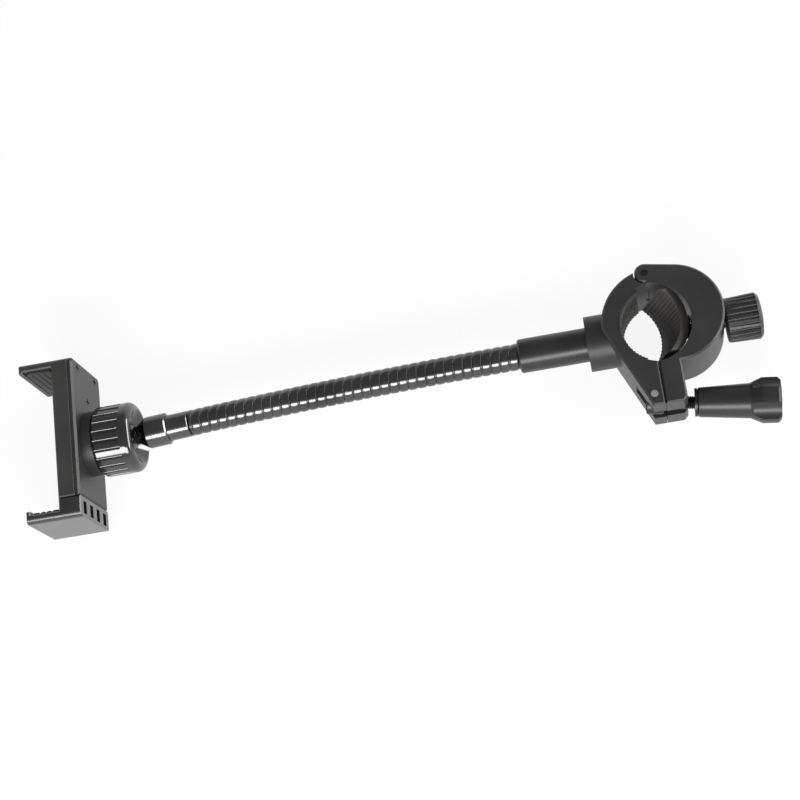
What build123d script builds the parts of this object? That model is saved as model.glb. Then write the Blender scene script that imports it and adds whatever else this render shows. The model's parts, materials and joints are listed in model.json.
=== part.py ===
# Phone holder on a gooseneck arm with a hinged pole clamp. All sizes are in millimetres.
# The pole runs along Z, the arm lies along X, and the hinge of the clamp is on the +Y side.
# The origin is the middle of the clamp's bore, on the pole's axis.
from build123d import *
import math
import os

# Fits
press_gap = 0.02
running_gap = 0.05
free_gap = 0.3
beyond = 100.0

# Clamp rings
clamp_height = 28.0
bore_radius = 16.0
base_outer_radius = 22.0
jaw_outer_radius = 19.3
jaw_outer_center = (5.4, 2.6)
jaw_bore_shift = -4.0
split_x = -3.0
slit_width = 0.15
rim_break = 0.7
small_break = 0.5

# Clamp hinge
hinge_x = -2.6
hinge_y = 20.0
hinge_pin_radius = 1.4
knuckle_radius = 3.8
knuckle_gap = 0.45
middle_knuckle_height = 12.0

# Clamp tails and the slots that the swing bolt lies in
tail_end_y = -32.5
base_tail_lean = 23.4
base_tail_wall = 4.0
jaw_tail_face_x = 5.3
jaw_tail_root_y = -11.0
jaw_tail_break = 1.6
slot_top_y = -20.5
bolt_side_gap = 0.7

# Swing bolt, its pin, washer and knob
swing_pin_x = -6.6
swing_pin_y = -28.0
swing_pin_radius = 1.4
swing_pin_recess = 0.2
bolt_rest_angle = -8.0
bolt_head_radius = 4.0
bolt_head_back = 3.6
bolt_head_front = 3.0
bolt_radius = 2.5
bolt_slack = 2.6
bolt_tip_gap = 2.6
washer_thickness = 1.0
washer_radius = 5.4
knob_length = 31.0
knob_neck_radius = 5.65
knob_barrel_radius = 6.7
knob_barrel_length = 19.5
knob_flare_length = 4.5
knob_head_radius = 8.7
knob_flute_radius = 5.6
knob_flute_depth = 2.4
knob_flute_start = 1.0
knob_flutes = 4
knob_neck_break = 0.6
knob_end_break = 1.2
knob_cap = 3.0
knob_insert_length = 8.0
knob_insert_radius = 3.75

# Pressure screw, its knob, and the pad that swivels on its tip
screw_radius = 3.0
insert_radius = 4.5
insert_recess = 1.6
pad_height = 22.0
pad_half_width = 12.4
pad_tilt = 20.0
pad_travel = 4.2
pad_pivot_x = 9.0
pad_standoff = 5.6
pad_depth = 3.4
facing_thickness = 2.0
pad_boss_radius = 4.2
pad_boss_length = 4.0
pad_boss_end = 1.2
tip_ball_radius = 2.4
tip_neck_radius = 1.3
tip_neck_length = 2.8
tip_plug_length = 3.2
press_knob_radius = 9.0
press_knob_length = 13.2
press_knob_ribs = 26
rib_groove_radius = 0.7
rib_groove_offset = 0.15
press_knob_taper = 0.4
press_knob_dome = 0.6
press_knob_face_radius = 4.5

# Liner in the base
liner_thickness = 2.0
liner_recess = 0.5
liner_height = 22.0
liner_half_angle = 66.0

# Boss, arm screw and clamp-end sleeve
boss_radius = 10.8
boss_face_x = -28.4
boss_recess_radius = 8.4
boss_recess_depth = 1.5
sleeve_radius = 6.7
sleeve_edge = 0.6
sleeve_socket_x = -21.0
sleeve_end_x = -55.8
arm_screw_radius = 2.0
arm_screw_length = 12.0
arm_screw_head_radius = 3.7
arm_screw_head_height = 2.6
arm_screw_slot = 1.0

# Gooseneck
neck_radius = 5.25
neck_groove_width = 1.12
neck_groove_depth = 1.0
neck_crown = 0.06
ring_edge_slope = 0.1
ring_edge_drop = 0.35
ring_edge_width = 0.45
ring_pitch = 3.68
rings_per_link = 4
link_count = 9
link_nose_radius = 3.0
link_bore_radius = 1.6
neck_rest_bend = 3.2

# Ferrule, cradle-end sleeve and ball stud
ferrule_length = 9.7
ferrule_spigot_radius = 3.5
ferrule_spigot_length = 2.5
end_sleeve_radius = 6.4
end_sleeve_length = 8.6
stud_shank_radius = 4.2
stud_shank_length = 5.5
stud_neck_radius = 3.6
stud_cone_length = 4.0
stud_cone_start = 9.0
stud_tip_depth = 5.0

# Ball, seat, socket and ring nut
ball_radius = 8.5
seat_thickness = 1.45
socket_radius = 12.0
socket_front = 3.0
socket_flange_radius = 13.0
socket_flange_height = 4.4
nut_radius = 14.2
nut_front = 9.2
nut_back = -6.5
nut_shoulder = 2.8
nut_back_break = 0.8
nut_lip_station = 5.0
nut_ribs = 24
nut_rib_groove_radius = 0.9
nut_rib_groove_offset = 0.3
nut_rib_length = 11.0

# Cradle, measured from the ball's centre along the arm
cradle_height = 66.0
cradle_width = 32.0
cradle_back = -11.5
cover_thickness = 2.0
cradle_thickness = 9.0
jaw_reach = 13.5
jaw_thickness = 3.3
upper_hook = 0.8
lower_hook = 1.6
hook_width = 1.7
cradle_edge = 0.9
cradle_corner = 2.5
slide_block_height = 8.3
guide_bar_width = 8.0
guide_bar_depth = 4.0
guide_bar_slack = 2.0
guide_bar_spacing = 20.0
slide_gap = 0.15
channel_margin = 15.0
vent_count = 4
vent_width = 3.4
vent_height = 5.0
vent_depth = 3.0
vent_pitch = 7.4
spring_radius = 2.6
spring_wire = 0.4
spring_pitch = 2.3
spring_turns = 14
spring_foot = 0.5
cover_screw_radius = 1.25
cover_screw_length = 6.0
cover_screw_head_radius = 2.3
cover_screw_head_height = 1.3
cover_screw_margin = 1.5
cross_depth = 0.6
cross_length = 3.2
cross_width = 0.6
pad_thickness = 1.2
pad_inset = 0.6
pad_margin = 2.0
jaw_pad_reach = 10.0

half_height = clamp_height / 2
half_width = cradle_width / 2


def rod_x(radius, start, end, y=0.0, z=0.0):
    """Round bar along X between two stations."""
    return Pos((start + end) / 2, y, z) * Rot(0, 90, 0) * Cylinder(radius, abs(end - start))


def rod_z(radius, low, high, x=0.0, y=0.0):
    """Round bar along Z between two heights."""
    return Pos(x, y, (low + high) / 2) * Cylinder(radius, high - low)


def block(x0, x1, y0, y1, z0, z1):
    """Box between opposite corners."""
    middle = Pos((x0 + x1) / 2, (y0 + y1) / 2, (z0 + z1) / 2)
    return middle * Box(abs(x1 - x0), abs(y1 - y0), abs(z1 - z0))


def turned(*points):
    """Solid turned about X from (station, radius) points."""
    return revolve(make_face(Polyline(*points, close=True)), Axis.X)


def turned_outline(*lines):
    """Solid turned about X from joined lines and arcs."""
    return revolve(make_face([edge for line in lines for edge in line.edges()]), Axis.X)


def plate(shape, height):
    """Flat shape made into a solid that is centred on Z."""
    return extrude(Pos(0, 0, -height / 2) * shape, height, dir=(0, 0, 1))


def rims(solid):
    """Edges of the lowest and highest faces."""
    faces = solid.faces().sort_by(Axis.Z)
    return faces[0].edges() + faces[-1].edges()


def grooved(solid, count, distance, radius, start, end):
    """Solid with round grooves along X, spaced evenly around it."""
    for index in range(count):
        angle = 2 * math.pi * index / count
        y, z = distance * math.cos(angle), distance * math.sin(angle)
        solid -= rod_x(radius, start, end, y, z)
    return solid


def save(solid, name):
    """Write one named piece."""
    export_step(solid, f"parts/{name}.step")


os.makedirs("parts", exist_ok=True)

# Clamp base: half ring, boss for the arm and forked tail
base_face_x = split_x - slit_width / 2
base_tail = Pos(base_face_x - beyond, tail_end_y / 2) * Rectangle(2 * beyond, -tail_end_y)
left_side = Pos(base_face_x - beyond, 0) * Rectangle(2 * beyond, 2 * beyond)
lean_side = Pos(beyond - bore_radius - base_tail_wall, 0) * Rectangle(2 * beyond, 2 * beyond)
base_shape = (Circle(base_outer_radius) & left_side) + base_tail
base_shape &= Rot(0, 0, base_tail_lean) * lean_side
clamp_base = plate(base_shape, clamp_height)
clamp_base = chamfer(rims(clamp_base), rim_break)
clamp_base += rod_x(boss_radius, boss_face_x, -bore_radius)
ear_low = middle_knuckle_height / 2 + free_gap
for side in (-1, 1):
    ear_middle = side * (half_height + free_gap + ear_low) / 2
    ear_room = Cylinder(knuckle_radius + knuckle_gap, half_height + free_gap - ear_low)
    clamp_base -= Pos(hinge_x, hinge_y, ear_middle) * ear_room
clamp_base += Pos(hinge_x, hinge_y) * Cylinder(knuckle_radius, middle_knuckle_height)
clamp_base -= Cylinder(bore_radius, clamp_height)
liner_outer_radius = bore_radius + liner_recess
liner_edge_x = -liner_outer_radius * math.cos(math.radians(liner_half_angle))
liner_side = Pos(liner_edge_x + press_gap - beyond, 0) * Box(2 * beyond, 2 * beyond, 2 * beyond)
clamp_base -= Cylinder(liner_outer_radius, liner_height + 2 * press_gap) & liner_side
clamp_base -= rod_z(hinge_pin_radius + press_gap, -half_height, half_height, hinge_x, hinge_y)
base_slot_width = 2 * (bolt_head_radius + free_gap)
clamp_base -= block(-beyond, 0, -beyond, slot_top_y, -base_slot_width / 2, base_slot_width / 2)
clamp_base -= rod_z(swing_pin_radius + press_gap, -half_height, half_height, swing_pin_x, swing_pin_y)
clamp_base -= rod_x(sleeve_radius + press_gap, boss_face_x, sleeve_socket_x)
clamp_base -= rod_x(boss_recess_radius, boss_face_x, boss_face_x + boss_recess_depth)
screw_seat_x = -liner_outer_radius - arm_screw_head_height
clamp_base -= rod_x(arm_screw_radius + press_gap, sleeve_socket_x, 0)
clamp_base -= rod_x(arm_screw_head_radius + free_gap, screw_seat_x, 0)
save(clamp_base, "clamp_base")

# Rubber liner in the base's recess
liner_inner_radius = liner_outer_radius - liner_thickness
base_liner = Cylinder(liner_outer_radius - press_gap, liner_height)
base_liner -= Cylinder(liner_inner_radius, liner_height)
base_liner &= Pos(-press_gap, 0) * liner_side
save(base_liner, "base_liner")

# Clamp jaw: hinged half ring with two ears and a forked tail
jaw_face_x = split_x + slit_width / 2
jaw_tail = Polygon(
    (jaw_face_x, jaw_tail_root_y),
    (jaw_face_x, tail_end_y),
    (jaw_tail_face_x - jaw_tail_break, tail_end_y),
    (jaw_tail_face_x, tail_end_y + jaw_tail_break),
    (jaw_tail_face_x, jaw_tail_root_y),
    align=None,
)
hinge_ear = Pos(hinge_x, hinge_y) * Circle(knuckle_radius)
jaw_ring = Pos(*jaw_outer_center) * Circle(jaw_outer_radius)
right_side = Pos(jaw_face_x + beyond, 0) * Rectangle(2 * beyond, 2 * beyond)
jaw_shape = (make_hull(hinge_ear.edges() + jaw_ring.edges()) + jaw_tail) & right_side
clamp_jaw = plate(jaw_shape, clamp_height)
clamp_jaw = chamfer(rims(clamp_jaw), rim_break)
ear_solid = plate(hinge_ear, clamp_height)
clamp_jaw += chamfer(rims(ear_solid), rim_break)
knuckle_room = middle_knuckle_height + 2 * free_gap
clamp_jaw -= Pos(hinge_x, hinge_y) * Cylinder(knuckle_radius + knuckle_gap, knuckle_room)
clamp_jaw -= Pos(jaw_bore_shift, 0) * Cylinder(bore_radius, clamp_height)
clamp_jaw -= rod_z(hinge_pin_radius + running_gap, -half_height, half_height, hinge_x, hinge_y)
jaw_slot_half = bolt_radius + bolt_side_gap
clamp_jaw -= block(-beyond, beyond, -beyond, slot_top_y, -jaw_slot_half, jaw_slot_half)
jaw_side_x = jaw_outer_center[0] + jaw_outer_radius
clamp_jaw -= rod_x(insert_radius + press_gap, 0, jaw_side_x)
boss_room_end = pad_pivot_x + pad_travel + pad_boss_end + free_gap
clamp_jaw -= rod_x(pad_boss_radius + 2 * free_gap, 0, boss_room_end)
save(clamp_jaw, "clamp_jaw")

# Hinge pin
hinge_pin = Pos(hinge_x, hinge_y) * Cylinder(hinge_pin_radius, clamp_height - 2 * rim_break)
save(hinge_pin, "hinge_pin")

# Threaded insert in the jaw for the pressure screw
insert_start = boss_room_end + free_gap
insert_end = jaw_side_x - insert_recess
jaw_insert = rod_x(insert_radius, insert_start, insert_end)
jaw_insert -= rod_x(screw_radius + running_gap, insert_start, insert_end)
save(jaw_insert, "jaw_insert")

# Pressure pad with its rubber facing, built about the ball that it swivels on
pad_center_x = -pad_standoff - bore_radius
facing_back_radius = bore_radius + facing_thickness
pad_side = Pos(pad_center_x + beyond, 0) * Rectangle(2 * beyond, 2 * pad_half_width)
pivot_place = Pos(pad_pivot_x, 0, 0)
pad_place = pivot_place * Rot(0, pad_tilt, 0)
jaw_room = Pos(jaw_bore_shift, 0) * Cylinder(bore_radius - free_gap, 2 * clamp_height)
drawn_back_room = Pos(-pad_pivot_x - pad_travel, 0) * jaw_room


def pad_plate(inner, outer):
    """Curved plate in its tilted place, which clears the jaw's bore there and when drawn back upright."""
    arc = (Pos(pad_center_x, 0) * (Circle(outer) - Circle(inner))) & pad_side
    return (pad_place * (plate(arc, pad_height) & drawn_back_room)) & jaw_room


pressure_pad = pad_plate(facing_back_radius + press_gap, bore_radius + pad_depth)
pressure_pad += pad_place * rod_x(pad_boss_radius, pad_boss_end - pad_boss_length, pad_boss_end)
pressure_pad -= pivot_place * Sphere(tip_ball_radius + running_gap)
save(pressure_pad, "pressure_pad")
save(pad_plate(bore_radius, facing_back_radius), "pad_facing")

# Ball tip, plugged into the end of the pressure screw
screw_start = pad_pivot_x + tip_neck_length
tip_plug_end = screw_start + tip_plug_length
ball_tip = pivot_place * Sphere(tip_ball_radius) + rod_x(tip_neck_radius, pad_pivot_x, tip_plug_end)
save(ball_tip, "screw_tip")

# Pressure screw and its ribbed knob
press_knob_x = jaw_side_x + free_gap
press_knob_end = press_knob_x + press_knob_length
screw_end = press_knob_end - knob_cap
pressure_screw = rod_x(screw_radius, screw_start, screw_end)
pressure_screw = chamfer(pressure_screw.edges(), small_break)
pressure_screw -= rod_x(tip_neck_radius + press_gap, screw_start, tip_plug_end + free_gap)
save(pressure_screw, "pressure_screw")
pressure_knob = turned(
    (press_knob_x, 0),
    (press_knob_x, press_knob_radius - press_knob_taper - small_break),
    (press_knob_x + small_break, press_knob_radius - press_knob_taper),
    (press_knob_end - knob_end_break, press_knob_radius),
    (press_knob_end, press_knob_radius - knob_end_break),
    (press_knob_end + press_knob_dome, press_knob_face_radius),
    (press_knob_end + press_knob_dome, 0),
)
pressure_knob = grooved(
    pressure_knob, press_knob_ribs, press_knob_radius + rib_groove_offset, rib_groove_radius,
    press_knob_x, press_knob_end - knob_end_break,
)
pressure_knob -= rod_x(screw_radius + press_gap, press_knob_x, screw_end)
save(pressure_knob, "pressure_knob")

# Swing bolt, built along X from its pin and then turned to its place
bolt_place = Pos(swing_pin_x, swing_pin_y, 0) * Rot(0, 0, bolt_rest_angle)
bolt_to_jaw = (jaw_tail_face_x - swing_pin_x) / math.cos(math.radians(bolt_rest_angle))
washer_start = bolt_to_jaw + bolt_slack
washer_end = washer_start + washer_thickness
knob_start = washer_end + running_gap
knob_end = knob_start + knob_length
bolt_length = knob_end - knob_cap - bolt_tip_gap
swing_bolt = rod_x(bolt_head_radius, -bolt_head_back, bolt_head_front)
swing_bolt = chamfer(swing_bolt.edges(), small_break) + rod_x(bolt_radius, 0, bolt_length)
swing_bolt -= rod_z(swing_pin_radius + running_gap, -bolt_head_radius, bolt_head_radius)
save(bolt_place * swing_bolt, "swing_bolt")
swing_pin = Cylinder(swing_pin_radius, clamp_height - 2 * swing_pin_recess)
save(Pos(swing_pin_x, swing_pin_y) * swing_pin, "swing_pin")
bolt_washer = rod_x(washer_radius, washer_start, washer_end)
bolt_washer -= rod_x(bolt_radius + running_gap, washer_start, washer_end)
save(bolt_place * bolt_washer, "bolt_washer")

# Bolt knob: long barrel with a four-lobed head
flare_start = knob_start + knob_barrel_length
flare_end = flare_start + knob_flare_length
bolt_knob = turned(
    (knob_start, 0),
    (knob_start, knob_neck_radius - knob_neck_break),
    (knob_start + knob_neck_break, knob_neck_radius),
    (flare_start, knob_barrel_radius),
    (flare_end, knob_head_radius),
    (knob_end - knob_end_break, knob_head_radius),
    (knob_end, knob_head_radius - knob_end_break),
    (knob_end, 0),
)
flute_distance = knob_head_radius - knob_flute_depth + knob_flute_radius
for flute in range(knob_flutes):
    flute_angle = 2 * math.pi * (flute + 1 / 2) / knob_flutes
    flute_y = flute_distance * math.cos(flute_angle)
    flute_z = flute_distance * math.sin(flute_angle)
    bolt_knob -= rod_x(knob_flute_radius, flare_start + knob_flute_start, knob_end, flute_y, flute_z)
bolt_knob -= rod_x(knob_insert_radius + press_gap, knob_start, knob_start + knob_insert_length)
bolt_knob -= rod_x(bolt_radius + free_gap, knob_start, knob_end - knob_cap)
save(bolt_place * bolt_knob, "bolt_knob")
knob_insert_end = knob_start + knob_insert_length
knob_insert = rod_x(knob_insert_radius, knob_start, knob_insert_end)
knob_insert -= rod_x(bolt_radius + running_gap, knob_start, knob_insert_end)
save(bolt_place * knob_insert, "knob_insert")

# Arm screw, driven from inside the bore
arm_screw = rod_x(arm_screw_radius, screw_seat_x, screw_seat_x - arm_screw_length)
arm_screw += rod_x(arm_screw_head_radius, screw_seat_x, screw_seat_x + arm_screw_head_height)
arm_screw -= block(
    screw_seat_x + arm_screw_head_height / 2, 0, -arm_screw_slot / 2, arm_screw_slot / 2,
    -arm_screw_head_radius, arm_screw_head_radius,
)
save(arm_screw, "arm_screw")

# Clamp-end sleeve with the round nose that the first link turns on
groove_half = neck_groove_width / 2
nose_rise = link_nose_radius * groove_half / neck_radius
cup_radius = link_nose_radius + running_gap


def nose_arc(pivot):
    """Arc of the round nose at a link's far end, from its root to its bore."""
    first = math.degrees(math.acos(-nose_rise / link_nose_radius))
    last = math.degrees(math.asin(link_bore_radius / link_nose_radius))
    return CenterArc((pivot, 0), link_nose_radius, first, last - first)


def cup_arc(pivot):
    """Arc of the cup that a nose turns in, from its bore to its rim."""
    first = math.degrees(math.asin(link_bore_radius / cup_radius))
    last = math.degrees(math.acos(nose_rise / cup_radius))
    return CenterArc((pivot, 0), cup_radius, first, last - first)


sleeve_length = sleeve_socket_x - sleeve_end_x
sleeve_nose = nose_arc(0)
clamp_sleeve = turned_outline(
    sleeve_nose,
    Polyline(
        sleeve_nose @ 1,
        (-sleeve_length, link_bore_radius),
        (-sleeve_length, sleeve_radius),
        (-groove_half - sleeve_edge, sleeve_radius),
        (-groove_half, sleeve_radius - sleeve_edge),
        (-groove_half, link_nose_radius),
        sleeve_nose @ 0,
    ),
)
to_neck = Pos(sleeve_end_x, 0, 0) * Rot(0, 0, 180)
screw_hole_end = screw_seat_x - arm_screw_length - free_gap
arm_screw_hole = rod_x(arm_screw_radius + press_gap, sleeve_socket_x, screw_hole_end)
save(to_neck * clamp_sleeve - arm_screw_hole, "clamp_sleeve")

# Gooseneck links, each a run of rings between a cup and a nose
link_length = ring_pitch * rings_per_link


def ring_points(start):
    """Outline of one ring, from groove to groove."""
    left, right = start + groove_half, start + ring_pitch - groove_half
    root = neck_radius - neck_groove_depth
    return [
        (left, root),
        (left + ring_edge_slope, neck_radius - ring_edge_drop),
        (left + ring_edge_width, neck_radius - neck_crown),
        ((left + right) / 2, neck_radius),
        (right - ring_edge_width, neck_radius - neck_crown),
        (right - ring_edge_slope, neck_radius - ring_edge_drop),
        (right, root),
    ]


link_cup, link_nose = cup_arc(0), nose_arc(link_length)
link_points = [link_cup @ 1]
for ring in range(rings_per_link):
    link_points += ring_points(ring * ring_pitch)
link_points += [link_nose @ 0]
link_bore = Line(link_nose @ 1, link_cup @ 0)
neck_link = turned_outline(link_cup, Polyline(*link_points), link_nose, link_bore)

# The rest pose bends a little at every second joint
bend_step = neck_rest_bend / math.ceil((link_count + 1) / 2)
neck_place = to_neck
for number in range(1, link_count + 2):
    if number % 2 == 1:
        neck_place = neck_place * Rot(0, 0, bend_step)
    if number <= link_count:
        save(neck_place * neck_link, f"neck_link_{number}")
        neck_place = neck_place * Pos(link_length, 0, 0)

# Smooth ferrule between the last link and the cradle-end sleeve
ferrule_end = ferrule_length + ferrule_spigot_length
ferrule_cup = cup_arc(0)
ferrule_outline = Polyline(
    ferrule_cup @ 1,
    (groove_half, neck_radius - sleeve_edge),
    (groove_half + sleeve_edge, neck_radius),
    (ferrule_length, neck_radius),
    (ferrule_length, ferrule_spigot_radius),
    (ferrule_end, ferrule_spigot_radius),
    (ferrule_end, link_bore_radius),
    ferrule_cup @ 0,
)
neck_ferrule = turned_outline(ferrule_cup, ferrule_outline)
save(neck_place * neck_ferrule, "neck_ferrule")

# Cradle-end sleeve and ball stud, on the same axis
end_sleeve_end = ferrule_length + end_sleeve_length
cradle_sleeve = turned(
    (ferrule_length, ferrule_spigot_radius + press_gap),
    (ferrule_length, end_sleeve_radius - small_break),
    (ferrule_length + small_break, end_sleeve_radius),
    (end_sleeve_end, end_sleeve_radius),
    (end_sleeve_end, stud_shank_radius + press_gap),
    (end_sleeve_end - stud_shank_length, stud_shank_radius + press_gap),
    (end_sleeve_end - stud_shank_length, ferrule_spigot_radius + press_gap),
)
save(neck_place * cradle_sleeve, "cradle_sleeve")
ball_station = end_sleeve_end + stud_cone_length + stud_cone_start
shank_start = end_sleeve_end - stud_shank_length + free_gap
ball_stud = turned(
    (shank_start, 0),
    (shank_start, stud_shank_radius),
    (end_sleeve_end, stud_shank_radius),
    (end_sleeve_end, end_sleeve_radius),
    (end_sleeve_end + stud_cone_length, stud_neck_radius),
    (ball_station + stud_tip_depth, stud_neck_radius),
    (ball_station + stud_tip_depth, 0),
)
save(neck_place * ball_stud, "ball_stud")

# Swivel ball on the stud
ball_place = neck_place * Pos(ball_station, 0, 0)
swivel_ball = Sphere(ball_radius)
swivel_ball -= rod_x(stud_neck_radius + running_gap, -ball_radius, stud_tip_depth + running_gap)
save(ball_place * swivel_ball, "swivel_ball")

# From here on the pieces stand square to the clamp, measured from the ball's centre
ball_center = ball_place.position
cradle_place = Pos(ball_center.X, ball_center.Y, ball_center.Z)

# Ball seat: cup behind the ball
seat_radius = ball_radius + running_gap + seat_thickness
ball_seat = Sphere(seat_radius) - Sphere(ball_radius + running_gap)
ball_seat &= block(-seat_radius, 0, -seat_radius, seat_radius, -seat_radius, seat_radius)
save(cradle_place * ball_seat, "ball_seat")

# Ring nut: ribbed outside, threaded bore, and a lip in front of the ball
lip_radius = math.sqrt(ball_radius**2 - nut_lip_station**2) + 2 * running_gap
lip_flare = lip_radius + nut_front - nut_lip_station
thread_radius = socket_radius + running_gap
shoulder_arc = CenterArc((nut_front - nut_shoulder, nut_radius - nut_shoulder), nut_shoulder, 90, -90)
nut_outline = Polyline(
    shoulder_arc @ 1,
    (nut_front, lip_flare),
    (nut_lip_station, lip_radius),
    (socket_front + free_gap, thread_radius),
    (nut_back, thread_radius),
    (nut_back, nut_radius - nut_back_break),
    (nut_back + nut_back_break, nut_radius),
    shoulder_arc @ 0,
)
ring_nut = grooved(
    turned_outline(shoulder_arc, nut_outline), nut_ribs, nut_radius + nut_rib_groove_offset,
    nut_rib_groove_radius, nut_back, nut_back + nut_rib_length,
)
save(cradle_place * ring_nut, "ring_nut")

# Cradle cover with the round socket
cradle_top = cradle_height / 2
slide_top = -cradle_top + slide_block_height
body_foot = slide_top + free_gap
cover_front = cradle_back - cover_thickness
cradle_front = cradle_back - cradle_thickness
jaw_tip = cradle_front - jaw_reach
cradle_face = Plane.YZ * RectangleRounded(cradle_height, cradle_width, cradle_corner)
cradle_form = Pos(jaw_tip, 0, 0) * extrude(cradle_face, cradle_back - jaw_tip)
cradle_cover = block(cover_front, cradle_back, body_foot, cradle_top, -half_width, half_width) & cradle_form
cradle_cover = chamfer(cradle_cover.faces().sort_by(Axis.X)[-1].edges(), cradle_edge)
cavity_radius = seat_radius + running_gap
socket_cavity = CenterArc((0, 0), cavity_radius, 180, -90)
socket_outline = Polyline(
    socket_cavity @ 1,
    (socket_front, cavity_radius),
    (socket_front, socket_radius),
    (cradle_back + socket_flange_height, socket_radius),
    (cradle_back + socket_flange_height, socket_flange_radius),
    (cradle_back, socket_flange_radius),
    (cradle_back, 0),
    socket_cavity @ 0,
)
cradle_cover += turned_outline(socket_cavity, socket_outline)

# Three screws hold the cover to the body
channel_length = cradle_height - channel_margin
channel_top = body_foot + channel_length
screw_places = (
    ((channel_top + cradle_top) / 2, guide_bar_spacing / 2),
    ((channel_top + cradle_top) / 2, -guide_bar_spacing / 2),
    (nut_radius + cover_screw_head_radius + cover_screw_margin, 0.0),
)
screw_face = cradle_back - cover_screw_head_height
cover_screw_tip = cradle_back - cover_screw_length
cover_hole_end = cover_screw_tip - free_gap
cover_screws = []
for screw_y, screw_z in screw_places:
    cradle_cover -= rod_x(cover_screw_head_radius + press_gap, screw_face, cradle_back, screw_y, screw_z)
    cradle_cover -= rod_x(cover_screw_radius + press_gap, cover_front, cradle_back, screw_y, screw_z)
    head = rod_x(cover_screw_head_radius, screw_face, cradle_back, screw_y, screw_z)
    for cross_y, cross_z in ((cross_length, cross_width), (cross_width, cross_length)):
        head -= Pos(cradle_back, screw_y, screw_z) * Box(2 * cross_depth, cross_y, cross_z)
    cover_screws.append(head + rod_x(cover_screw_radius, cover_screw_tip, screw_face, screw_y, screw_z))
save(cradle_place * cradle_cover, "cradle_cover")
save(Compound(children=[cradle_place * screw for screw in cover_screws]), "cover_screws")

# Cradle body with the fixed upper jaw
upper_face = cradle_top - jaw_thickness
body_shape = Polygon(
    (cover_front, body_foot),
    (cover_front, cradle_top),
    (jaw_tip, cradle_top),
    (jaw_tip, upper_face - upper_hook),
    (jaw_tip + hook_width, upper_face - upper_hook),
    (jaw_tip + hook_width, upper_face),
    (cradle_front, upper_face),
    (cradle_front, body_foot),
    align=None,
)
cradle_body = plate(body_shape, cradle_width)
cradle_body = chamfer(rims(cradle_body), cradle_edge / 2) & cradle_form
channel_floor = cover_front - guide_bar_depth - slide_gap
for side in (-1, 1):
    middle_z = side * guide_bar_spacing / 2
    reach_z = guide_bar_width / 2 + slide_gap
    cradle_body -= block(
        channel_floor, cover_front, body_foot, channel_top, middle_z - reach_z, middle_z + reach_z
    )
spring_room = spring_radius + spring_wire + free_gap
spring_length = spring_pitch * spring_turns
spring_top = body_foot + spring_foot + spring_length
spring_x = cover_front - spring_room
spring_room_top = spring_top + spring_foot
cradle_body -= block(
    cover_front - 2 * spring_room, cover_front, body_foot, spring_room_top, -spring_room, spring_room
)
for screw_y, screw_z in screw_places:
    cradle_body -= rod_x(cover_screw_radius + press_gap, cover_hole_end, cover_front, screw_y, screw_z)
face_pad_floor = cradle_front + pad_inset
face_pad_low = body_foot + pad_margin
face_pad_high = upper_face - pad_thickness - pad_margin
face_pad_half = half_width - pad_margin
cradle_body -= block(
    cradle_front, face_pad_floor, face_pad_low, face_pad_high, -face_pad_half, face_pad_half
)
save(cradle_place * cradle_body, "cradle_body")

# Sliding lower jaw with two guide bars
lower_face = -cradle_top + jaw_thickness
slide_shape = Polygon(
    (cradle_back, slide_top),
    (cradle_back, -cradle_top),
    (jaw_tip, -cradle_top),
    (jaw_tip, lower_face + lower_hook),
    (jaw_tip + hook_width, lower_face + lower_hook),
    (jaw_tip + hook_width, lower_face),
    (cradle_front, lower_face),
    (cradle_front, slide_top),
    align=None,
)
sliding_jaw = plate(slide_shape, cradle_width)
sliding_jaw = chamfer(rims(sliding_jaw), cradle_edge / 2) & cradle_form
bar_back = cover_front - slide_gap
bar_front = cover_front - guide_bar_depth
bar_half = guide_bar_width / 2
bar_top = slide_top + channel_length - guide_bar_slack
for side in (-1, 1):
    middle_z = side * guide_bar_spacing / 2
    sliding_jaw += block(bar_front, bar_back, lower_face, bar_top, middle_z - bar_half, middle_z + bar_half)
vent_low = (-cradle_top + slide_top - vent_height) / 2
for vent in range(vent_count):
    vent_z = (vent - (vent_count - 1) / 2) * vent_pitch
    sliding_jaw -= block(
        cradle_back - vent_depth, cradle_back, vent_low, vent_low + vent_height,
        vent_z - vent_width / 2, vent_z + vent_width / 2,
    )
save(cradle_place * sliding_jaw, "sliding_jaw")

# Pull spring in the middle channel
spring_path = Helix(spring_pitch, spring_length, spring_radius)
spring_wire_face = Plane(spring_path @ 0, z_dir=spring_path % 0) * Circle(spring_wire)
jaw_spring = sweep(spring_wire_face, path=spring_path)
spring_place = cradle_place * Pos(spring_x, spring_top, 0) * Rot(90, 0, 0)
save(spring_place * jaw_spring, "jaw_spring")

# Rubber pads on the face and on both jaws
face_pad = block(
    face_pad_floor - pad_thickness, face_pad_floor - press_gap,
    face_pad_low + press_gap, face_pad_high - press_gap,
    -face_pad_half + press_gap, face_pad_half - press_gap,
)
save(cradle_place * face_pad, "face_pad")
jaw_pad_start = cradle_front - pad_margin / 2
jaw_pad_end = jaw_pad_start - jaw_pad_reach
upper_pad = block(
    jaw_pad_end, jaw_pad_start, upper_face - pad_thickness, upper_face, -face_pad_half, face_pad_half
)
save(cradle_place * upper_pad, "upper_pad")
lower_pad = block(
    jaw_pad_end, jaw_pad_start, lower_face, lower_face + pad_thickness, -face_pad_half, face_pad_half
)
save(cradle_place * lower_pad, "lower_pad")
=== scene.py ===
# %% [markdown]
# # A gooseneck holder, dressed for the camera
# The solid model gives every rigid piece its place and size. This lesson loads those pieces as a fixed
# frame, gives each one the finish of the real object, and makes the pieces that a plain solid can't
# show well: the wound hose of the neck, the ribbed rubber and the screw threads. Everything is in
# metres, in the frame of the clamp: its bore runs along Z, the neck leaves along -X and the clamp's
# hinge is on the +Y side.

import json
import math

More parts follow.
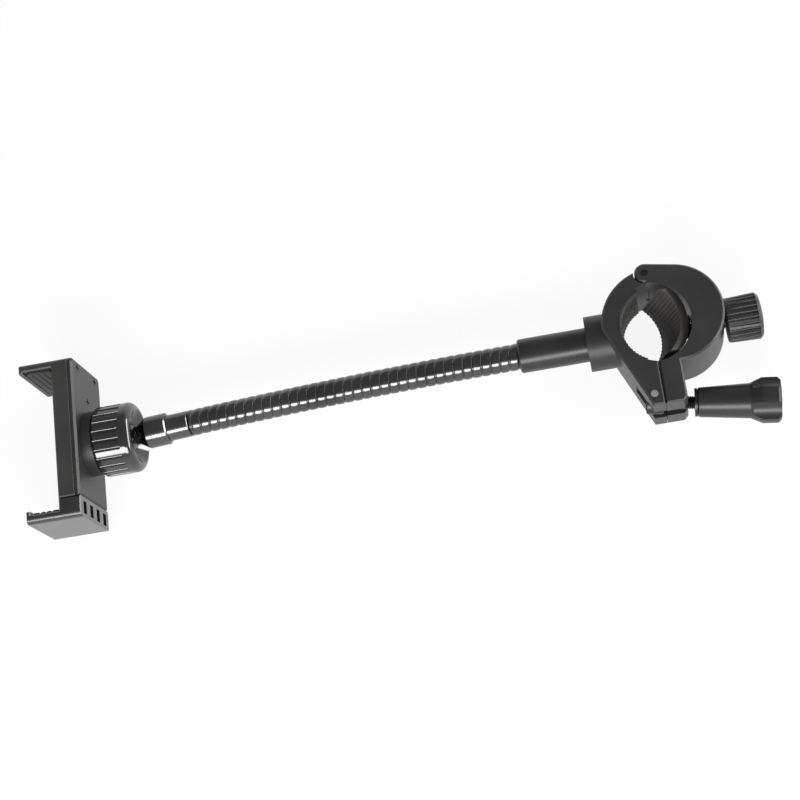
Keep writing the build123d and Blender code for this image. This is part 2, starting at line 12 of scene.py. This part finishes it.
import bmesh
import bpy
from mathutils import Matrix, Vector


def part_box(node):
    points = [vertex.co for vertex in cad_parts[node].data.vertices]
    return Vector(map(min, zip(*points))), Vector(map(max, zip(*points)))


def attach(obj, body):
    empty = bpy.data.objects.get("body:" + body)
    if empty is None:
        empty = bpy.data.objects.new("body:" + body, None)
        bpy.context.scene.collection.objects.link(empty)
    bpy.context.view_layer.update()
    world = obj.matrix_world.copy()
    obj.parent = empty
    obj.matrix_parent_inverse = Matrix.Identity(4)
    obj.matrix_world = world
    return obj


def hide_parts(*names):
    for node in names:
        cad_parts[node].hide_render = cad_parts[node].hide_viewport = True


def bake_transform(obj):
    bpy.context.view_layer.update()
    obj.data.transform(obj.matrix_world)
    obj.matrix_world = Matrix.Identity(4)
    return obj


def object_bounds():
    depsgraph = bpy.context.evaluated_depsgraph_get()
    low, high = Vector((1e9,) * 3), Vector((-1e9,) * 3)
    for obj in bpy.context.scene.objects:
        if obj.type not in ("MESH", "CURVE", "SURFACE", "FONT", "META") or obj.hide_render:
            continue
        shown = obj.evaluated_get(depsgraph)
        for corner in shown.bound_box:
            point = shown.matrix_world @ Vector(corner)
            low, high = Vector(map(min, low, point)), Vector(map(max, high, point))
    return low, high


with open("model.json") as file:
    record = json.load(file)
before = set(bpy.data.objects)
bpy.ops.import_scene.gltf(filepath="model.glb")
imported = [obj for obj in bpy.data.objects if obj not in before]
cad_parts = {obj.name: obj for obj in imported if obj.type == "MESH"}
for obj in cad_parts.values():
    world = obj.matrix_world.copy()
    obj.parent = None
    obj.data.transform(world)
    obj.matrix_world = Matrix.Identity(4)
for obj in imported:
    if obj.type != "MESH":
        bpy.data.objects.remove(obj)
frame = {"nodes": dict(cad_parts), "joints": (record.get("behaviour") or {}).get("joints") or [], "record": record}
nodes = frame["nodes"]
joints = {joint["name"]: joint for joint in frame["joints"]}
solid_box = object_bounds()
scene = bpy.context.scene
scene.view_settings.view_transform = "Standard"
MM = 0.001
print("nodes loaded:", len(nodes))

# %% [markdown]
# ## Camera
# The holder lies on its side and is seen from almost straight above the clamp, a little from the side
# of the swing bolt. Perspective does the rest: the cradle at the far end shows its back, while the
# clamp shows only its rim. A Track To constraint would aim a camera too, but it keeps the picture
# level. So the camera is placed by its eye and aim, and then rolled until the X axis climbs to the
# right as it should.

# %% Place the camera
EYE = Vector((-0.0202, -0.2054, 0.6082))
AIM = Vector((-0.1039, -0.0093, 0.0))
CLIMB = math.radians(9.69)
LENS = 74.0
SENSOR = 36.0
NEAREST = 10.0 * MM

forward = (AIM - EYE).normalized()
level_right = forward.cross(Vector((0, 1, 0))).normalized()
level_up = level_right.cross(forward)
roll = math.atan2(level_up.x, level_right.x) - CLIMB
right = math.cos(roll) * level_right + math.sin(roll) * level_up
up = right.cross(forward)
camera = bpy.data.objects.new("camera", bpy.data.cameras.new("camera"))
scene.collection.objects.link(camera)
camera.matrix_world = Matrix(
    (
        (right.x, up.x, -forward.x, EYE.x),
        (right.y, up.y, -forward.y, EYE.y),
        (right.z, up.z, -forward.z, EYE.z),
        (0, 0, 0, 1),
    )
)
camera.data.sensor_width = SENSOR
camera.data.lens = LENS
camera.data.clip_start = NEAREST
scene.camera = camera
print("camera roll in degrees:", round(math.degrees(roll), 2))

# %% [markdown]
# ## Floor
# A studio lays such an object on a sheet of white paper. A plain white surface would need very strong
# light to come out white, and that light would bleach the object. So most of the paper is a glow that
# only the camera, mirrors and glass can see, and the rest is matte paper that takes a faint shadow.

# %% Make the floor
FLOOR_SIZE = 40.0
FLOOR_DROP = 2.0 * MM

floor_z = solid_box[0][2] - FLOOR_DROP
bpy.ops.mesh.primitive_plane_add(size=FLOOR_SIZE, location=(0, 0, floor_z))
floor = bpy.context.object
floor.name = "floor"
print("floor at", round(floor_z, 4))

# %% Helpers for the paper


def grey(level):
    """Colour without a tint."""
    return (level, level, level)


def seen_directly(tree):
    """A value of one for rays that come from the camera, a mirror or glass."""
    path = tree.nodes.new("ShaderNodeLightPath")
    seen = path.outputs["Is Camera Ray"]
    for ray in ("Is Glossy Ray", "Is Transmission Ray"):
        larger = tree.nodes.new("ShaderNodeMath")
        larger.operation = "MAXIMUM"
        tree.links.new(seen, larger.inputs[0])
        tree.links.new(path.outputs[ray], larger.inputs[1])
        seen = larger.outputs[0]
    return seen


# %% Make the paper
PAPER_LEVEL = 0.92
GLOW_STRENGTH = 1.0
GLOW_SHARE = 0.9

paper = bpy.data.materials.new("white_paper")
paper.use_nodes = True
tree = paper.node_tree
tree.nodes.clear()
matte = tree.nodes.new("ShaderNodeBsdfDiffuse")
matte.inputs["Color"].default_value = (*grey(PAPER_LEVEL), 1)
glow = tree.nodes.new("ShaderNodeEmission")
glow.inputs["Strength"].default_value = GLOW_STRENGTH
share = tree.nodes.new("ShaderNodeMath")
share.operation = "MULTIPLY"
share.inputs[1].default_value = GLOW_SHARE
mix = tree.nodes.new("ShaderNodeMixShader")
out = tree.nodes.new("ShaderNodeOutputMaterial")
tree.links.new(seen_directly(tree), share.inputs[0])
tree.links.new(share.outputs[0], mix.inputs[0])
tree.links.new(matte.outputs[0], mix.inputs[1])
tree.links.new(glow.outputs[0], mix.inputs[2])
tree.links.new(mix.outputs[0], out.inputs["Surface"])
floor.data.materials.append(paper)
print("paper nodes:", len(tree.nodes))

# %% [markdown]
# ## Light
# A black object on white needs light that its gloss can mirror, and point lamps or a sun would show
# only as dots. Two long soft boxes do better. The strip on the swing bolt's side draws the bright line
# along the neck and brightens every face that looks that way. The one off the clamp's end draws the
# crescent on the ring nut's shoulder. The sky fills the rest: white at the horizon, where the paper
# meets it, and grey overhead.

# %% Hang the soft boxes


def soft_box(name, place, aim, width, height, power):
    """Rectangular lamp that looks at a point."""
    lamp = bpy.data.objects.new(name, bpy.data.lights.new(name, "AREA"))
    lamp.data.shape = "RECTANGLE"
    lamp.data.size = width
    lamp.data.size_y = height
    lamp.data.energy = power
    scene.collection.objects.link(lamp)
    lamp.location = place
    lamp.rotation_euler = (Vector(aim) - Vector(place)).to_track_quat("-Z", "Y").to_euler()


soft_box("strip", place=(-0.25, -0.82, 0.57), aim=(-0.1, 0.0, 0.0), width=1.0, height=0.34, power=12.0)
soft_box("end", place=(0.74, 0.10, 0.24), aim=(-0.2, 0.0, 0.0), width=1.3, height=0.28, power=12.0)

# %% Paint the sky
# height of the gaze, from nought at the horizon to one overhead, and the level of grey there
SKY = [(0.04, 1.0), (0.42, 0.30)]

world = bpy.data.worlds.new("studio")
scene.world = world
world.use_nodes = True
tree = world.node_tree
gaze = tree.nodes.new("ShaderNodeTexCoord")
split = tree.nodes.new("ShaderNodeSeparateXYZ")
shade = tree.nodes.new("ShaderNodeValToRGB")
for stop, (height, level) in zip(shade.color_ramp.elements, SKY):
    stop.position = height
    stop.color = (*grey(level), 1)
tree.links.new(gaze.outputs["Generated"], split.inputs["Vector"])
tree.links.new(split.outputs["Z"], shade.inputs["Fac"])
tree.links.new(shade.outputs["Color"], tree.nodes["Background"].inputs["Color"])
print("sky levels:", [level for height, level in SKY])

# %% [markdown]
# ## Finishes
# Almost every finish of the holder is black, and they differ in how they shine. A flat black with one
# roughness would look like painted card, because real surfaces are never even. So each finish is one
# shader with two noises: a coarse one changes the colour and the roughness a little, and a fine one
# gives the grain as a bump. Both are in the object's own space, so that they travel with the piece and
# need no unwrapping.

# %% Helpers for the finishes
MOTTLE_DETAIL = 6.0
MOTTLE_SPAN = (0.3, 0.7)
GRAIN_DETAIL = 3.0


def noise(tree, place, scale, detail):
    """Value of a noise texture at a place in the object's own space."""
    texture = tree.nodes.new("ShaderNodeTexNoise")
    texture.inputs["Scale"].default_value = scale
    texture.inputs["Detail"].default_value = detail
    tree.links.new(place, texture.inputs["Vector"])
    return texture.outputs["Fac"]


def finish(
    name, dark, light, rough, metal=0.0, patch=60.0, grain=2200.0, bump=0.1, depth=0.05 * MM, **sockets
):
    """Shader with a mottled colour, an uneven roughness and a fine grain."""
    material = bpy.data.materials.new(name)
    material.use_nodes = True
    tree = material.node_tree
    shader = tree.nodes["Principled BSDF"]
    place = tree.nodes.new("ShaderNodeTexCoord").outputs["Object"]
    mottle = noise(tree, place, patch, MOTTLE_DETAIL)
    fine = noise(tree, place, grain, GRAIN_DETAIL)
    colours = tree.nodes.new("ShaderNodeValToRGB")
    for stop, share, colour in zip(colours.color_ramp.elements, MOTTLE_SPAN, (dark, light)):
        stop.position = share
        stop.color = (*colour, 1)
    gloss = tree.nodes.new("ShaderNodeMapRange")
    gloss.inputs["To Min"].default_value = rough[0]
    gloss.inputs["To Max"].default_value = rough[1]
    relief = tree.nodes.new("ShaderNodeBump")
    relief.inputs["Strength"].default_value = bump
    relief.inputs["Distance"].default_value = depth
    links = tree.links
    links.new(mottle, colours.inputs["Fac"])
    links.new(colours.outputs["Color"], shader.inputs["Base Color"])
    links.new(mottle, gloss.inputs["Value"])
    links.new(gloss.outputs["Result"], shader.inputs["Roughness"])
    links.new(fine, relief.inputs["Height"])
    links.new(relief.outputs["Normal"], shader.inputs["Normal"])
    shader.inputs["Metallic"].default_value = metal
    for socket, value in sockets.items():
        shader.inputs[socket.replace("_", " ")].default_value = value
    return material


# %% [markdown]
# ### Moulded plastic
# The clamp and the back of the cradle are moulded in a tool with an eroded grain, which makes them
# matte. The cradle's body is the same plastic, a shade paler. The sliding jaw came from a smoother tool
# and shines as if it had a thin lacquer, for which the shader has a coat. The knobs are satin, and the
# ring nut and the ball are polished. One plastic for all would be simpler, but the real pieces differ
# in their shine more than in their colour.

# %% Mix the plastics
MOULD_GRAIN = 0.08 * MM
MOULD_BUMP = 0.22
grained_black = finish(
    "grained_black_moulding", grey(0.014), grey(0.020), rough=(0.38, 0.50), bump=MOULD_BUMP,
    depth=MOULD_GRAIN,
)
pale_black = finish(
    "pale_grained_black", (0.024, 0.024, 0.023), (0.034, 0.034, 0.033), rough=(0.38, 0.50),
    bump=MOULD_BUMP, depth=MOULD_GRAIN,
)
smooth_black = finish(
    "smooth_black_moulding", grey(0.008), grey(0.014), rough=(0.34, 0.42), Coat_Weight=0.7,
    Coat_Roughness=0.22,
)
polished_black = finish(
    "polished_black_moulding", grey(0.006), grey(0.010), rough=(0.08, 0.15), grain=500.0, bump=0.02,
    IOR=1.8,
)
satin_black = finish("satin_black_moulding", grey(0.010), grey(0.016), rough=(0.30, 0.40), bump=0.12)
plastics = [grained_black, pale_black, smooth_black, polished_black, satin_black]
print("plastics:", [plastic.name for plastic in plastics])

# %% [markdown]
# ### Metal
# The hose and the pieces between it and the cradle are plated with black nickel, a dark mirror. A black
# paint with a gloss would be too dull where the hose faces the lamp, so this finish is a metal with a
# dark colour. The sleeve at the clamp has a satin coat instead. Bolts and screws are blackened, the
# swing bolt's pin and the pull spring are bright zinc, and the threaded inserts are brass.

# %% Mix the metals
black_nickel = finish(
    "black_nickel", grey(0.09), grey(0.13), rough=(0.14, 0.24), metal=1.0, grain=700.0, bump=0.03
)
satin_coating = finish(
    "satin_black_coating", grey(0.010), grey(0.016), rough=(0.28, 0.38), grain=1500.0, bump=0.06
)
black_oxide = finish(
    "black_oxide", (0.03, 0.03, 0.032), (0.07, 0.07, 0.072), rough=(0.30, 0.45), metal=1.0,
    patch=400.0, bump=0.05,
)
bright_zinc = finish(
    "bright_zinc", (0.70, 0.70, 0.71), (0.82, 0.82, 0.83), rough=(0.16, 0.30), metal=1.0,
    patch=500.0, bump=0.04,
)
turned_brass = finish(
    "turned_brass", (0.62, 0.45, 0.19), (0.74, 0.57, 0.27), rough=(0.22, 0.36), metal=1.0,
    patch=300.0, bump=0.05,
)
metals = [black_nickel, satin_coating, black_oxide, bright_zinc, turned_brass]
print("metals:", [metal.name for metal in metals])

# %% [markdown]
# ### Rubber
# Rubber is dull and has a dusty bloom. A layer of sheen could give that bloom, but on pieces as small
# as these a slightly paler colour and a high roughness look the same. The liner and the facing in the
# clamp are a little brown, as black rubber becomes, and the pads of the cradle are plain black.

# %% Mix the rubbers
brown_rubber = finish(
    "brown_black_rubber", (0.026, 0.024, 0.021), (0.040, 0.036, 0.032), rough=(0.62, 0.78),
    patch=140.0, bump=0.2,
)
black_rubber = finish(
    "black_rubber", grey(0.024), grey(0.036), rough=(0.60, 0.75), patch=140.0, bump=0.2
)
rubbers = [brown_rubber, black_rubber]
print("rubbers:", [rubber.name for rubber in rubbers])

# %% [markdown]
# ### Dressing the pieces
# The record of the solid model names a slot of material for every piece. Choosing a finish for each
# piece by hand would be long and easy to get wrong, so one table turns slots into finishes, and a small
# second one holds the two pieces that have a finish of their own.

# %% Dress the pieces
by_slot = {
    "black_plastic": grained_black,
    "gloss_plastic": polished_black,
    "knob_plastic": satin_black,
    "coated_steel": black_nickel,
    "satin_steel": satin_coating,
    "dark_steel": black_oxide,
    "bright_steel": bright_zinc,
    "brass": turned_brass,
    "liner_rubber": brown_rubber,
    "pad_rubber": black_rubber,
}
by_node = {"sliding_jaw": smooth_black, "cradle_body": pale_black}
for entry in frame["record"]["subparts"]:
    mesh = nodes[entry["node"]].data
    mesh.materials.clear()
    mesh.materials.append(by_node.get(entry["node"], by_slot[entry["material_slot"]]))
print("finishes in use:", len(by_slot) + len(by_node))

# %% [markdown]
# ## The wound hose
# A gooseneck is steel wire wound into a tight hose: flat crests with a narrow groove between them,
# running round in a slow helix. A screw modifier could wind one profile, but the hose has to bend at
# ten places, and each stretch may follow only two neighbouring links. So the helix is written as a grid
# of points, one row for each point of the profile, and cut into stretches in the middle of the links.

# %% Winding helper


def wound_faces(bm, first, last, columns, per_turn, point):
    """Grid of faces along a helix, between two rows. A column that comes round meets the next turn."""
    made = {}

    def corner(row, column):
        if column == columns:
            row, column = row + per_turn, 0
        if (row, column) not in made:
            made[row, column] = bm.verts.new(point(row, column))
        return made[row, column]

    for row in range(first, last):
        for column in range(columns):
            ring = (corner(row, column), corner(row, column + 1))
            ring += (corner(row + 1, column + 1), corner(row + 1, column))
            bm.faces.new(ring)


# %% Helpers that turn a mesh into a piece
MERGE_REACH = 2e-6


def made_object(name, bm):
    """Object in the scene, with the mesh that was built."""
    mesh = bpy.data.meshes.new(name)
    bm.to_mesh(mesh)
    bm.free()
    made = bpy.data.objects.new(name, mesh)
    scene.collection.objects.link(made)
    return made


def closed_piece(name, bm, slot):
    """Merge, cap and smooth a wound mesh, and make it an object. The caps stay flat, with sharp edges."""
    bmesh.ops.remove_doubles(bm, verts=bm.verts, dist=MERGE_REACH)
    bmesh.ops.dissolve_degenerate(bm, edges=bm.edges, dist=MERGE_REACH / 2)
    bmesh.ops.holes_fill(bm, edges=[e for e in bm.edges if e.is_boundary], sides=0)
    bmesh.ops.recalc_face_normals(bm, faces=bm.faces)
    for face in bm.faces:
        face.smooth = len(face.verts) <= 4
        for edge in face.edges:
            edge.smooth = edge.smooth and face.smooth
    piece = made_object(name, bm)
    piece.data.materials.append(by_slot[slot])
    return piece


# %% Hose profile
PITCH_MM = 3.68
# distance along the neck from the groove's middle, and radius, both in millimetres
CREST = [(0.0, 4.78), (0.14, 4.80), (0.20, 5.00), (0.25, 5.04)]
CREST += [(0.60, 5.13), (1.0, 5.20), (1.4, 5.24), (PITCH_MM / 2, 5.25)]
TURN = CREST + [(PITCH_MM - station, radius) for station, radius in reversed(CREST[1:-1])]
PITCH = PITCH_MM * MM
print("points in one turn of the profile:", len(TURN))

# %% Path of the neck
HOSE_OVERRUN = 0.3 * MM

bends = [j for j in frame["joints"] if j["name"].startswith(("neck_", "sway_", "nod_"))]
pivots = [Vector(j["pos_m"]) for j in bends]
link_count = len(bends) - 1
link_length = (pivots[1] - pivots[0]).length
turns_per_link = round(link_length / PITCH)
hose_end = link_length * link_count + HOSE_OVERRUN


def neck_frame(station):
    """Point on the neck's axis and its direction, at a distance from the first pivot."""
    index = max(0, min(link_count - 1, int(station // link_length)))
    along = (pivots[index + 1] - pivots[index]).normalized()
    return pivots[index] + along * (station - index * link_length), along


print("hose turns:", turns_per_link * link_count, "link", round(link_length, 5))

# %% Points of the hose
HOSE_COLUMNS = 72
Z_AXIS = Vector((0, 0, 1))


def hose_point(row, column):
    """Point of the hose on a row of the winding."""
    turn, step = divmod(row, len(TURN))
    station, radius = TURN[step]
    angle = 2 * math.pi * column / HOSE_COLUMNS
    place = turn * PITCH + station * MM + PITCH * (column / HOSE_COLUMNS - 0.5)
    center, along = neck_frame(min(place, hose_end))
    side = along.cross(Z_AXIS)
    return center + radius * MM * (math.cos(angle) * side + math.sin(angle) * Z_AXIS)


# %% Make the stretches of hose
for index, bend in enumerate(bends):
    # the end stretches are half as long and wind on by a turn, into the sleeve or up to the hose's end
    first_turn = (index - 0.5) * turns_per_link if index else -1
    last_turn = (index + 0.5) * turns_per_link if index < link_count else index * turns_per_link + 1
    first_row = int(first_turn * len(TURN))
    last_row = int(last_turn * len(TURN))
    bm = bmesh.new()
    wound_faces(bm, first_row, last_row, HOSE_COLUMNS, len(TURN), hose_point)
    stretch = closed_piece(f"hose_{index + 1}", bm, "coated_steel")
    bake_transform(stretch)
    if index < link_count:
        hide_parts(f"neck_link_{index + 1}")
print("stretches of hose:", len(bends))

# %% [markdown]
# ## Ribbed rubber
# The bore is lined with a strip of rubber, the pressure pad has a rubber facing, and three thin pads
# line the cradle. Moulded rubber has soft edges and shallow grooves that let it grip. A bump could fake
# the grooves, but they show at the rims, so they are real. Every strip has the same section all along
# Z, so one outline in X and Y is drawn out into a bar and its rims are rounded.

# %% Helper for the bars
RUBBER_RIM = 0.25 * MM
RUBBER_CREASE = math.radians(50)


def drawn_out(name, outline, half_height, slot, body, node):
    """Bar along Z with rounded rims, which stands for one of the rubber solids."""
    bm = bmesh.new()
    bottom = bm.faces.new([bm.verts.new((x, y, -half_height)) for x, y in outline])
    raised = bmesh.ops.extrude_face_region(bm, geom=[bottom])["geom"]
    lifted = [v for v in raised if isinstance(v, bmesh.types.BMVert)]
    bmesh.ops.translate(bm, verts=lifted, vec=(0, 0, 2 * half_height))
    bmesh.ops.recalc_face_normals(bm, faces=bm.faces)
    rims = [e for e in bm.edges if any(len(f.verts) > 4 for f in e.link_faces)]
    bmesh.ops.bevel(
        bm, geom=rims, offset=RUBBER_RIM, segments=2, profile=0.5, affect="EDGES", clamp_overlap=True
    )
    piece = made_object(name, bm)
    piece.data.shade_smooth()
    piece.data.set_sharp_from_angle(angle=RUBBER_CREASE)
    piece.data.materials.append(by_slot[slot])
    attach(piece, body)
    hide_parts(node)
    return piece


# %% Helpers for curved strips
GROOVE_FULLNESS = 0.7
GROOVE_DEPTH = 0.22 * MM
GROOVE_PITCH = 1.5 * MM
STRIP_THICKNESS = 1.98 * MM
FACE_STEPS = 240
BACK_STEPS = 60


def groove(phase):
    """Depth of a shallow round-bottomed groove, from nought on the rib to one in the middle."""
    return max(0.0, math.cos(2 * math.pi * phase)) ** GROOVE_FULLNESS


def curved_strip(center_x, heading, radius, face_reach, back_reach):
    """Outline of a strip on an arc about a point of the X axis, grooved on its hollow side."""
    points = []
    # half a groove more than a whole number, so that the strip ends on a rib
    grooves = round(radius * face_reach / GROOVE_PITCH) + 0.5
    for step in range(FACE_STEPS + 1):
        share = 2 * step / FACE_STEPS - 1
        angle = face_reach * share
        depth = radius + GROOVE_DEPTH * groove(grooves * share)
        points.append((center_x + heading * depth * math.cos(angle), depth * math.sin(angle)))
    back = radius + STRIP_THICKNESS
    for step in range(BACK_STEPS + 1):
        angle = back_reach * (1 - 2 * step / BACK_STEPS)
        points.append((center_x + heading * back * math.cos(angle), back * math.sin(angle)))
    return points


# %% Line the bore
LINER_RADIUS = 14.5 * MM
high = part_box("base_liner")[1]
reaches = [math.acos(-high.x / radius) for radius in (LINER_RADIUS, LINER_RADIUS + STRIP_THICKNESS)]
liner = curved_strip(0.0, -1, LINER_RADIUS, *reaches)
drawn_out("bore_liner", liner, high.z, "liner_rubber", "clamp", "base_liner")
print("liner reaches in degrees:", [round(math.degrees(reach), 1) for reach in reaches])

# %% [markdown]
# ### The facing of the pressure pad
# The pad hangs on the screw's ball tip and has tipped forward a little. Working out a tilted section
# would be hard to read, so the facing is drawn upright about the tip, and then tipped and moved to its
# place in one step.

# %% Face the pressure pad
FACING_RADIUS = 16.0 * MM
FACING_HALF = 11.0 * MM
FACE_STANDOFF = 5.6 * MM
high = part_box("pad_facing")[1]
reaches = [math.asin(high.y / radius) for radius in (FACING_RADIUS, FACING_RADIUS + STRIP_THICKNESS)]
facing = curved_strip(-FACING_RADIUS - FACE_STANDOFF, 1, FACING_RADIUS, *reaches)
piece = drawn_out("pressure_facing", facing, FACING_HALF, "liner_rubber", "pad", "pad_facing")
tip = joints["pad_tip"]
tilt = Matrix.Rotation(-math.radians(tip["range_deg"][0]), 4, Vector(tip["axis"]))
piece.data.transform(Matrix.Translation(tip["pos_m"]) @ tilt)
print("facing tipped by degrees:", -tip["range_deg"][0])

# %% [markdown]
# ### The pads of the cradle
# The cradle grips with three flat pads, which have wider grooves. An array modifier could repeat one
# groove, but an outline of points is all that the helper above needs. So each pad is a row of grooves
# along its working face, and two corners behind it.

# %% Helper for flat pads
PAD_GROOVE = 0.4 * MM
PAD_PITCH = 2.4 * MM
PAD_EDGE = 1.2 * MM
PAD_STEPS = 12


def grooved_edge(length):
    """Points along a pad's working face: distance along it and depth of the groove there."""
    count = int((length - 2 * PAD_EDGE) / PAD_PITCH)
    start = (length - count * PAD_PITCH) / 2
    points = [(0.0, 0.0)]
    for step in range(count * PAD_STEPS + 1):
        points.append((start + step * PAD_PITCH / PAD_STEPS, PAD_GROOVE * groove(step / PAD_STEPS + 0.5)))
    return points + [(length, 0.0)]


# %% Pad the cradle
low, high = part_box("face_pad")
outline = [(low.x + depth, low.y + along) for along, depth in grooved_edge(high.y - low.y)]
outline += [(high.x, high.y), (high.x, low.y)]
drawn_out("cradle_face_pad", outline, high.z, "pad_rubber", "cradle", "face_pad")
print("face pad length", round(high.y - low.y, 5))
low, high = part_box("upper_pad")
outline = [(low.x + along, low.y + depth) for along, depth in grooved_edge(high.x - low.x)]
outline += [(high.x, high.y), (low.x, high.y)]
drawn_out("cradle_upper_pad", outline, high.z, "pad_rubber", "cradle", "upper_pad")
print("upper pad length", round(high.x - low.x, 5))
low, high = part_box("lower_pad")
outline = [(low.x + along, high.y - depth) for along, depth in grooved_edge(high.x - low.x)]
outline += [(high.x, low.y), (low.x, low.y)]
drawn_out("cradle_lower_pad", outline, high.z, "pad_rubber", "slide_jaw", "lower_pad")
print("lower pad length", round(high.x - low.x, 5))

# %% [markdown]
# ## Screw threads
# The swing bolt and the pressure screw show a few turns of thread in the gap between the clamp and
# their knobs. A bump map can't give a thread its toothed outline, so it is wound as a mesh. The winding
# helper of the hose makes it, with a sharper profile.

# %% Thread helper
THREAD_COLUMNS = 40
# share of the pitch, and share of the depth there
THREAD = [(0.0, 1.0), (0.35, 0.12), (0.5, 0.0), (0.65, 0.12)]


def threaded_rod(name, length, radius, pitch, depth):
    """Threaded rod along X from the origin, with a cone at each end."""

    def point(row, column):
        turn, step = divmod(row, len(THREAD))
        station, share = THREAD[step]
        place = (turn + station + column / THREAD_COLUMNS) * pitch
        place = min(max(place, 0.0), length)
        taper = max(0.0, depth - place, place - length + depth)
        size = radius - max(depth * share, taper)
        angle = 2 * math.pi * column / THREAD_COLUMNS
        return (place, size * math.cos(angle), size * math.sin(angle))

    bm = bmesh.new()
    turns = math.ceil(length / pitch)
    wound_faces(bm, -len(THREAD), turns * len(THREAD), THREAD_COLUMNS, len(THREAD), point)
    return closed_piece(name, bm, "dark_steel")


# %% Thread the pressure screw
low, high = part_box("pressure_screw")
screw = threaded_rod("press_thread", high.x - low.x, high.y, pitch=1.0 * MM, depth=0.45 * MM)
screw.data.transform(Matrix.Translation((low.x, 0, 0)))
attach(screw, "press_screw")
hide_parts("pressure_screw")
print("pressure screw length", round(high.x - low.x, 5))

# %% [markdown]
# ### The swing bolt
# The bolt swings on a pin through its head, a short drum with a cross hole, and its shank is threaded.
# One mesh for all of it would be hard to write, while drum, hole and rod are simple by themselves. So
# two booleans put them together along X, and the result is turned to the bolt's own direction. The
# booleans are worked out at once, because a piece has to be final before it rides on its body.

# %% Drum helper
DRUM_COLUMNS = 64


def drum(start, end, radius, chamfer):
    """Drum along X with a chamfer at each end."""
    narrow = radius - chamfer
    stations = ((start, narrow), (start + chamfer, radius), (end - chamfer, radius), (end, narrow))
    angles = [2 * math.pi * column / DRUM_COLUMNS for column in range(DRUM_COLUMNS)]
    bm = bmesh.new()
    rings = []
    for place, size in stations:
        rings.append([bm.verts.new((place, size * math.cos(a), size * math.sin(a))) for a in angles])
    for near, far in zip(rings, rings[1:]):
        for column in range(DRUM_COLUMNS):
            after = (column + 1) % DRUM_COLUMNS
            bm.faces.new((near[column], near[after], far[after], far[column]))
    bm.faces.new(rings[0])
    bm.faces.new(rings[-1])
    bmesh.ops.recalc_face_normals(bm, faces=bm.faces)
    return made_object("drum", bm)


# %% Boolean helper


def combine(piece, other, operation):
    """Boolean of two meshes, worked out at once. The second one is used up."""
    step = piece.modifiers.new(operation.lower(), "BOOLEAN")
    step.operation = operation
    step.solver = "EXACT"
    step.object = other
    mesh = bpy.data.meshes.new_from_object(piece.evaluated_get(bpy.context.evaluated_depsgraph_get()))
    piece.modifiers.clear()
    piece.data = mesh
    bpy.data.objects.remove(other)


# %% Make the swing bolt
HEAD_BACK = 3.6 * MM
HEAD_FRONT = 3.0 * MM
HEAD_RADIUS = 4.0 * MM
HEAD_CHAMFER = 0.5 * MM
HOLE_RADIUS = 1.45 * MM
HOLE_CHAMFER = 0.1 * MM
BOLT_RADIUS = 2.5 * MM
BOLT_CREASE = math.radians(35)

pin = Vector(joints["knob_turn"]["pos_m"])
heading = Vector(joints["knob_turn"]["axis"])
bolt_length = (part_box("swing_bolt")[1].x - pin.x - BOLT_RADIUS * abs(heading.y)) / heading.x
bolt = threaded_rod("bolt_thread", bolt_length, BOLT_RADIUS, pitch=0.8 * MM, depth=0.38 * MM)
combine(bolt, drum(-HEAD_BACK, HEAD_FRONT, HEAD_RADIUS, HEAD_CHAMFER), "UNION")
hole = drum(-2 * HEAD_RADIUS, 2 * HEAD_RADIUS, HOLE_RADIUS, HOLE_CHAMFER)
hole.rotation_euler = (0, math.pi / 2, 0)
combine(bolt, hole, "DIFFERENCE")
bolt.data.shade_smooth()
bolt.data.set_sharp_from_angle(angle=BOLT_CREASE)
swing = heading.to_track_quat("X", "Z").to_matrix().to_4x4()
bolt.data.transform(Matrix.Translation(pin) @ swing)
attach(bolt, "bolt")
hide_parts("swing_bolt")
print("bolt length", round(bolt_length, 5), "faces", len(bolt.data.polygons))
